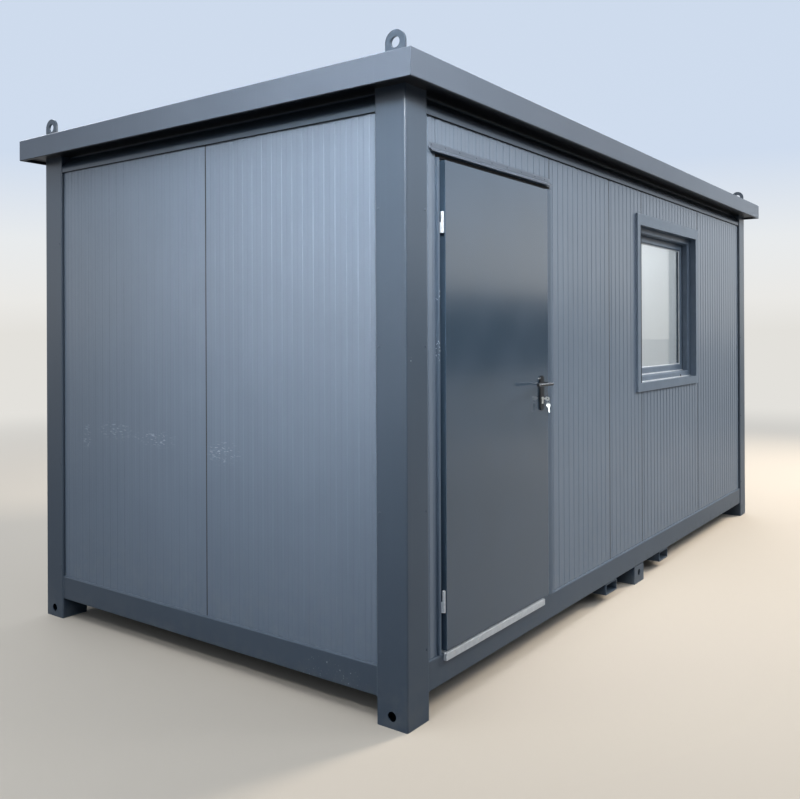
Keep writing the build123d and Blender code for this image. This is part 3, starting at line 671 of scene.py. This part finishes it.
def roof_deck_screws():
    """Roofing screws on the deck's ribs, in three rows across the roof."""
    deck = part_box("roof_deck")
    rib_pitch, inset = 250 * MM, 120 * MM
    ribs = np.arange(-9.5, 10) * rib_pitch
    rows = np.array([deck[0].y + inset, 0.0, deck[1].y - inset])
    x, y = np.meshgrid(ribs, rows)
    places = np.stack([x, y, 0 * x + deck[1].z], -1).reshape(-1, 3)
    heads = copies(hex_head_with_washer(8 * MM, 5 * MM), places, np.eye(3))
    piece("roof_deck_screws", heads, finishes["galvanised_steel"])


# Welds

def frame_welds():
    """Weld beads where the base rails meet the posts: a rippled half round."""
    shapes = []
    bead = half_round(3 * MM)
    for wall, length in WALL_LENGTHS.items():
        _, way, out = (np.array(v, float) for v in WALLS[wall])
        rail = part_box(f"base_rail_{wall}")
        for along, side in ((POST, 1), (length - POST, -1)):
            foot = on_wall(wall, along, 5 * MM, rail[0].z + 2 * MM)
            head = on_wall(wall, along, 5 * MM, rail[1].z - 2 * MM)
            slope = (side * way + out) / math.sqrt(2)
            across = (side * way - out) / math.sqrt(2)
            shapes.append(run(bead, foot, head, across, slope, 0.16, 5 * MM))
    piece("frame_welds", together(*shapes), finishes["frame_paint"])


# Seals

def door_seal_and_shade_strip():
    """Rubber seal in the frame's rebate: a soft D-shaped strip up both jambs and along the head; also a
    black strip of painted shade under the drip.
    """
    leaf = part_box("door_leaf")
    inset, rebate = 3 * MM, leaf[1].y - FRONT + 5.9 * MM
    left, right = leaf[0].x - LEFT + inset, leaf[1].x - LEFT - inset
    foot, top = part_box("hinge_jamb")[0].z + 5 * MM, leaf[1].z - inset
    width, depth = 9 * MM, 5.4 * MM
    shoulder = -0.6 * depth
    strip = np.array([(0, 0), (width, 0), (width, shoulder), (0.5 * width, -depth), (0, shoulder)])
    inward, up, along = np.array([0, 1, 0]), np.array([0, 0, 1]), np.array([1, 0, 0])
    shapes = []
    for edge, way in ((left, along), (right, -along)):
        ends = [on_wall("front", edge, rebate, height) for height in (foot, top)]
        shapes.append(run(strip, *ends, way, inward))
    ends = [on_wall("front", edge, rebate, top) for edge in (left, right)]
    shapes.append(run(strip, *ends, -up, inward))
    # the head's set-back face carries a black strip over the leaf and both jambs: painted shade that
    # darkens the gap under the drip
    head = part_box("door_head_rail")
    thick, tall, short, proud = 12 * MM, 14 * MM, 1 * MM, 0.2 * MM
    shade_strip_profile = np.array([(0, 0), (thick, 0), (thick, tall), (0, tall)])
    face, shade_strip_foot = head[0].y - FRONT - thick - proud, head[1].z - short - tall
    ends = [on_wall("front", x - LEFT, face, shade_strip_foot) for x in (head[0].x + short, head[1].x - short)]
    shapes.append(run(shade_strip_profile, *ends, inward, up))
    piece("door_seal_and_shade_strip", together(*shapes), black_rubber_and_shade, smooth=False)


def groove_seal_and_shade():
    """Dark rubber lip that fills the groove between the hinge jamb and the leaf's edge, its black also
    painted shade of that deep groove.
    """
    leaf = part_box("door_leaf")
    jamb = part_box("hinge_jamb")
    start = jamb[0].x - LEFT + 16.5 * MM
    width = leaf[0].x - LEFT - 4 * MM - start
    strip = np.array([(0, 0), (width, 0), (width, -6 * MM), (0, -16 * MM)])
    rebate = leaf[1].y - FRONT + 5.5 * MM
    ends = [on_wall("front", start, rebate, height) for height in (jamb[0].z + 4 * MM, leaf[1].z)]
    lip = run(strip, *ends, (1, 0, 0), (0, 1, 0))
    piece("groove_seal_and_shade", lip, black_rubber_and_shade, smooth=False)


def glazing_seals():
    """Black wedge gaskets round the glass on both faces, and a gasket between frame and sash."""
    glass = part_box("window_glass")
    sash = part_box("window_sash")
    edges = (glass[0].x - LEFT, glass[1].x - LEFT, glass[0].z, glass[1].z)
    outer = glass[0].y - FRONT
    inner = glass[1].y - FRONT
    lip = 2.5 * MM
    shapes = []
    for face, way in ((outer, 1), (inner, -1)):
        wedge = [(0, face), (-lip, face), (-0.4 * lip, face - way * lip), (0, face - way * lip)]
        shapes.append(window_loop(wedge, *edges))
    sash_edges = (sash[0].x - LEFT, sash[1].x - LEFT, sash[0].z, sash[1].z)
    face = sash[0].y - FRONT
    rim = [(0, face), (-1.5 * MM, face), (-1.5 * MM, face - 1 * MM), (0, face - 1.5 * MM)]
    shapes.append(window_loop(rim, *sash_edges))
    piece("glazing_seals", together(*shapes), black_rubber_and_shade, smooth=False)


# Upright joints inside the one-piece walls, as distances along them
PANEL_JOINTS = {"left": [1.285], "right": [1.150], "rear": [1.296, 2.4425, 3.589]}


def panel_joint_shade():
    """Black strips of painted shade in the panels' upright joints, beside the posts and under the roof
    rails' lips.
    """
    front = [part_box(f"front_panel_{index}")[0].x - 2 * MM - LEFT for index in (1, 2, 3, 4)]
    joints = {**PANEL_JOINTS, "front": front}
    # painted shade: black strips standing in the joints' shadow gaps
    joint = np.array([(-3, 0.6), (3, 0.6), (3, -3), (-3, -3)]) * MM
    corner = np.array([(-2, 1), (2, 1), (2, -6), (-2, -6)]) * MM
    lip = np.array([(0, 0.5), (9, 0.5), (9, -1.5), (0, -1.5)]) * MM
    shapes = []
    for wall, length in WALL_LENGTHS.items():
        _, way, out = (np.array(v, float) for v in WALLS[wall])
        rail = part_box(f"roof_rail_{wall}")
        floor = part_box(f"base_rail_{wall}")[1].z
        uprights = [(along, joint) for along in joints[wall]]
        uprights += [(POST, corner), (length - POST, corner)]
        for along, profile in uprights:
            ends = [on_wall(wall, along, PANEL_FACE, height) for height in (floor, rail[0].z)]
            shapes.append(run(profile, *ends, way, out))
        ends = [on_wall(wall, along, PANEL_FACE, rail[0].z) for along in (POST, length - POST)]
        shapes.append(run(lip, *ends, out, np.array([0, 0, 1])))
    piece("panel_joint_shade", together(*shapes), black_rubber_and_shade, smooth=False)


def window_beads():
    """Sloped aluminium rain beads along the sill's two steps, and a glazing bead round the glass: bright
    strips that are painted highlight of these edges.
    """
    aluminium = finishes["bright_aluminium"]
    short = 12 * MM
    wedge = np.array([(0, 0), (12, 0), (0, 6)]) * MM
    shapes = []
    # painted highlight: bright strips where the sill's steps and the glass's edge catch the light
    for name, inset in (("window_frame", 9.5 * MM), ("window_sash", 0)):
        low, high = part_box(name)
        places = np.array([low.x + short, high.x - short]) - LEFT
        ends = on_wall("front", places, low.y - FRONT, low.z + inset)
        shapes.append(run(wedge, *ends, (0, -1, 0), (0, 0, 1)))
    piece("sill_beads", together(*shapes), aluminium, smooth=False)
    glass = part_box("window_glass")
    face = glass[0].y - FRONT
    edges = (glass[0].x - LEFT, glass[1].x - LEFT, glass[0].z, glass[1].z)
    bead = window_loop([(0, face), (0, face - 5 * MM), (-6 * MM, face)], *edges)
    piece("glazing_bead", bead, aluminium, smooth=False)


# Drain slots low on the window frame, as distances along the front
DRAIN_SLOTS = (2.60, 3.36)


def sill_caps():
    """Dark caps over the window frame's drain slots."""
    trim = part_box("window_trim")
    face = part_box("window_frame")[0].y - FRONT
    places = on_wall("front", np.array(DRAIN_SLOTS), face, trim[0].z + 63 * MM)
    caps = copies(pan_head(7 * MM, 4 * MM), places, wall_axes("front"))
    piece("sill_caps", caps, finishes["black_plastic"])


# Keys

def key_blank():
    """A flat key lying in its local x-y plane: a round bow with a hole, and a blade with cut teeth.

    The bow is a ring of radius r(a) = 11 + cos(2 a) mm round the hole; the blade's lower edge is a
    triangle wave 1.8 mm high with a period of 4 mm, and its upper edge is cut off at 45 degrees.
    """
    rim, stations = 32, 40
    half, hole, side = 1.1 * MM, 3.2 * MM, 3.6
    root, teeth, bevel, tip = 10, 15, 34, 36
    angle = np.linspace(0, 2 * math.pi, rim, endpoint=False)
    outer = (11 + np.cos(2 * angle)) * MM
    inner = 0 * outer + hole
    rows = [(inner, half), (outer, half), (outer, -half), (inner, -half)]
    bow = np.stack([np.stack([r * np.cos(angle), r * np.sin(angle), 0 * r + z], -1) for r, z in rows])
    station = np.linspace(root, tip, stations)
    wave = 1.8 * np.abs(((station - teeth) / 4 % 1) * 2 - 1) * (station > teeth)
    x, low, high = station * MM, (wave - side) * MM, np.minimum(side, side + bevel - station) * MM
    sections = [(low, half * 0.8), (high, half * 0.8), (high, -half * 0.8), (low, -half * 0.8)]
    blade = np.stack([np.stack([x, y, 0 * x + z], -1) for y, z in sections], 1)
    last = 4 * stations - 1
    ends = np.array([[0, 1, 2, 3], [last, last - 1, last - 2, last - 3]])
    return together(
        (bow.reshape(-1, 3), [grid_faces(4, rim, True, True)]),
        (blade.reshape(-1, 3), [grid_faces(stations, 4, closed_columns=True), ends]),
    )


def split_ring(radius, wire):
    """A torus in the local x-y plane: ((R + r cos b) cos a, (R + r cos b) sin a, r sin b)."""
    round_ring, round_wire = 40, 8
    a = np.linspace(0, 2 * math.pi, round_ring, endpoint=False)[:, None]
    b = np.linspace(0, 2 * math.pi, round_wire, endpoint=False)[None, :]
    reach = radius + wire * np.cos(b)
    points = np.stack([reach * np.cos(a), reach * np.sin(a), wire * np.sin(b) + 0 * a], -1)
    return points.reshape(-1, 3), [grid_faces(round_ring, round_wire, True, True)]


def unit(vector):
    """The same direction with length 1: v / |v|."""
    return vector / np.linalg.norm(vector)


def lock_keys():
    """One key in the cylinder, a ring through its bow, and two more keys hanging from the ring."""
    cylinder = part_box("lock_cylinder")
    along = (cylinder[0].x + cylinder[1].x) / 2 - LEFT
    height = cylinder[1].z - 8.5 * MM
    face = cylinder[0].y - FRONT
    inwards, up, way = np.array([0, 1, 0]), np.array([0, 0, 1]), np.array([1, 0, 0])
    # the blade points into the lock, the bow stands upright in front of it
    in_lock = on_wall("front", along, face - 24 * MM, height)
    shapes = [copies(key_blank(), [in_lock], np.array([inwards, up, way]))]
    # the ring hangs down from the bow's hole, its plane turned a little
    radius, wire = 12 * MM, 0.9 * MM
    ring_centre = in_lock - radius * up - 4 * MM * inwards
    hanging = unit(np.array([0.35, 0.15, -1.0]))
    ring_x = unit(np.cross(hanging, inwards))
    ring_axes = np.array([ring_x, hanging, np.cross(ring_x, hanging)])
    shapes.append(copies(split_ring(radius, wire), [ring_centre], ring_axes))
    for lean, swing in ((0.20, -0.05), (-0.16, -0.20)):
        down = unit(np.array([lean, swing, -1.0]))
        across = unit(np.cross(down, (-0.8, -0.6, 0.1)))
        bow = ring_centre + radius * hanging + 8 * MM * down
        shapes.append(copies(key_blank(), [bow], np.array([down, across, np.cross(down, across)])))
    nickel = finishes["lock_nickel"]
    piece("lock_keys", together(*shapes), nickel, body="door", smooth=False)


post_screws()
drip_screws()
threshold_screws()
roof_edge_rivets()
roof_deck_screws()
frame_welds()
door_seal_and_shade_strip()
groove_seal_and_shade()
glazing_seals()
panel_joint_shade()
window_beads()
sill_caps()
lock_keys()


# Camera

PICTURE_WIDTH, PICTURE_HEIGHT = 800, 799
FOCAL_PIXELS = 858.0
HORIZON_PIXEL = 331.0
CAMERA_PLACE = Vector((-5.106, -3.131, 1.539))
CAMERA_YAW = math.radians(36.10)
CAMERA_PITCH = math.radians(0.041)
CAMERA_ROLL = math.radians(-0.240)


def place_camera():
    """Camera at the photograph's viewpoint, its upright lines kept parallel by a vertical shift."""
    lens = bpy.data.cameras.new("camera")
    lens.sensor_width = 36.0
    lens.lens = FOCAL_PIXELS / PICTURE_WIDTH * lens.sensor_width
    lens.shift_y = (HORIZON_PIXEL - PICTURE_HEIGHT / 2) / PICTURE_WIDTH
    camera = bpy.data.objects.new("camera", lens)
    bpy.context.scene.collection.objects.link(camera)
    ahead = Vector(
        (
            math.cos(CAMERA_YAW) * math.cos(CAMERA_PITCH),
            math.sin(CAMERA_YAW) * math.cos(CAMERA_PITCH),
            math.sin(CAMERA_PITCH),
        )
    )
    turn = ahead.to_track_quat("-Z", "Y").to_matrix().to_4x4()
    camera.matrix_world = Matrix.Translation(CAMERA_PLACE) @ turn @ Matrix.Rotation(CAMERA_ROLL, 4, "Z")
    bpy.context.scene.camera = camera


# Studio

def soft_lamp(name, place, target, size, power, colour, spread):
    """A large area lamp at a place, turned to a target, its beam limited to a spread in degrees."""
    lamp = bpy.data.lights.new(name, "AREA")
    lamp.shape = "RECTANGLE"
    lamp.size, lamp.size_y = size
    lamp.energy = power
    lamp.spread = math.radians(spread)
    lamp.color = linear(colour)[:3]
    holder = bpy.data.objects.new(name, lamp)
    bpy.context.scene.collection.objects.link(holder)
    way = Vector(target) - Vector(place)
    holder.matrix_world = Matrix.Translation(place) @ way.to_track_quat("-Z", "Y").to_matrix().to_4x4()
    holder.visible_camera = False
    holder.visible_transmission = False
    return holder


def seen_directly(tree, gloss_share):
    """1 for rays from the camera and through glass, a share for gloss, 0 for what matt surfaces get."""
    path = add_node(tree, "ShaderNodeLightPath")
    gloss = multiplied(tree, path.outputs["Is Glossy Ray"], gloss_share)
    return greatest(tree, path.outputs["Is Camera Ray"], path.outputs["Is Transmission Ray"], gloss)


# The floor disc's radius, and the distances from the middle between which it fades into the sky's foot
FLOOR_REACH = 150.0
FADE_START, FADE_END = 4.0, 13.5
SKY_FOOT = "#e3e1dc"


def studio_floor():
    """Plain pale floor, a disc that runs to the horizon; darker in what it throws back on the cabin."""
    material, tree, shader, place = new_material("pale_floor")
    seen = seen_directly(tree, 0.25)
    colour = blend(tree, seen, linear("#585d62"), linear("#c2b8a9"))
    tree.links.new(colour, shader.inputs["Base Color"])
    shader.inputs["Roughness"].default_value = 0.9
    shader.inputs["Specular IOR Level"].default_value = 0.2
    # far off the floor takes the colour of the sky's foot, so that no hard line shows between them
    off = add_node(tree, "ShaderNodeVectorMath", {0: place}, operation="LENGTH").outputs["Value"]
    far = add_node(tree, "ShaderNodeEmission", {"Color": linear(SKY_FOOT), "Strength": 1.0})
    fade = multiplied(tree, seen, span(tree, off, FADE_START, FADE_END))
    inputs = {0: fade, 1: shader.outputs[0], 2: far.outputs[0]}
    mixed = add_node(tree, "ShaderNodeMixShader", inputs)
    tree.links.new(mixed.outputs[0], tree.nodes["Material Output"].inputs["Surface"])
    sides = 64
    angle = np.linspace(0, 2 * math.pi, sides, endpoint=False)
    points = FLOOR_REACH * np.stack([np.cos(angle), np.sin(angle), 0 * angle], -1)
    mesh = bpy.data.meshes.new("floor")
    mesh.from_pydata(points.tolist(), [], [list(range(sides))])
    mesh.materials.append(material)
    floor = bpy.data.objects.new("floor", mesh)
    bpy.context.scene.collection.objects.link(floor)


# The sky's colours by the sine of the height above the horizon
SKY = [
    (0.0, SKY_FOOT),
    (0.035, "#eae9e6"),
    (0.10, "#e8ebed"),
    (0.19, "#cfdcee"),
    (0.5, "#cddaec"),
    (1.0, "#dbe5f3"),
]


def pale_sky():
    """World light: a bright warm band low down, pale blue above."""
    world = bpy.data.worlds.new("pale_sky")
    bpy.context.scene.world = world
    world.use_nodes = True
    tree = world.node_tree
    tree.nodes.clear()
    way = add_node(tree, "ShaderNodeTexCoord").outputs["Generated"]
    rise = add_node(tree, "ShaderNodeSeparateXYZ", {0: way}).outputs["Z"]
    ramp = add_node(tree, "ShaderNodeValToRGB", {"Fac": rise})
    elements = ramp.color_ramp.elements
    while len(elements) < len(SKY):
        elements.new(0.5)
    for element, (position, colour) in zip(elements, SKY):
        element.position = position
        element.color = linear(colour)
    # matt surfaces get an overcast sky, more than three times as bright overhead as at its foot
    overcast = span(tree, rise, 0.0, 1.0, 0.38, 1.3)
    inputs = {0: 1.0, 1: overcast}
    difference = add_node(tree, "ShaderNodeMath", inputs, operation="SUBTRACT").outputs[0]
    inputs = {0: seen_directly(tree, 1.0), 1: difference, 2: overcast}
    strength = add_node(tree, "ShaderNodeMath", inputs, operation="MULTIPLY_ADD").outputs[0]
    inputs = {"Color": ramp.outputs[0], "Strength": strength}
    background = add_node(tree, "ShaderNodeBackground", inputs)
    add_node(tree, "ShaderNodeOutputWorld", {"Surface": background.outputs[0]})


def dark_screen():
    """A dark screen far off the front, outside the view, that glossy paint mirrors as a soft band.

    The door mirrors its long low part, the ribs' left flanks its tall part.
    """
    material, _, shader, _ = new_material("dark_screen")
    shader.inputs["Base Color"].default_value = linear("#2a3136")
    shader.inputs["Roughness"].default_value = 0.9
    mesh = bpy.data.meshes.new("dark_screen")
    start, middle, stop, off, low, high = -14.0, 4.0, 34.0, -15.0, 2.9, 6.5
    low_part = [(middle, 0), (stop, 0), (stop, low), (middle, low)]
    tall_part = [(start, 0), (start, high), (middle, high)]
    points = [(x, off, z) for x, z in low_part + tall_part]
    mesh.from_pydata(points, [], [(0, 1, 2, 3), (4, 0, 3, 6, 5)])
    mesh.materials.append(material)
    screen = bpy.data.objects.new("dark_screen", mesh)
    bpy.context.scene.collection.objects.link(screen)
    screen.visible_camera = False


# Name, place, target, width and height, power in watts, colour and spread in degrees
LAMPS = [
    ("left_key", (-9.0, -1.6, 8.0), (LEFT, -1.2, 1.9), (3.0, 0.8), 14, "#f6f9ff", 20),
    ("left_high", (-5.0, 0.0, 6.5), (LEFT, 0.0, 1.1), (3.5, 1.5), 57, "#f4f7fb", 120),
    ("corner", (-5.6, -3.9, 4.3), (LEFT, FRONT, 2.4), (1.2, 0.8), 20, "#f6f7fa", 36),
    ("front_key", (3.5, -7.5, 6.0), (1.0, FRONT, 2.4), (3.5, 2.0), 24, "#f6f9ff", 50),
    ("front_high", (0.5, -6.5, 7.5), (0.0, FRONT, 1.2), (6.0, 2.0), 10, "#fff5e9", 130),
    ("rear_high", (0.5, 9.0, 7.5), (0.0, REAR, 1.0), (6.0, 2.0), 150, "#f6f9ff", 130),
    ("right_high", (8.5, 2.0, 7.5), (RIGHT, 0.0, 1.0), (3.0, 2.0), 90, "#f6f9ff", 130),
    ("room", (0.6, 0.1, 2.38), (0.6, 0.1, 0.0), (3.2, 1.4), 39, "#f4f9ff", 180),
]
# Where the two lamps stand that light the front from the side
SIDE = (10.0, -5.0, 6.0)

place_camera()
studio_floor()
pale_sky()
dark_screen()
for lamp in LAMPS:
    soft_lamp(*lamp)
# the side lamp models the ribs, and leaves no hard gloss of its own on the long roof edge
side_lamp = soft_lamp("front_side", SIDE, (2.0, FRONT, 1.6), (3.0, 2.0), 450, "#fff5e9", 90)
side_lamp.visible_glossy = False
# a narrow beam that only gives the round lever and the keys their bright edge
glint = soft_lamp("glint", SIDE, (-1.39, FRONT, 1.28), (3.0, 2.0), 0.5, "#ffffff", 5)
glint.visible_diffuse = False
bpy.context.scene.view_settings.view_transform = "Standard"
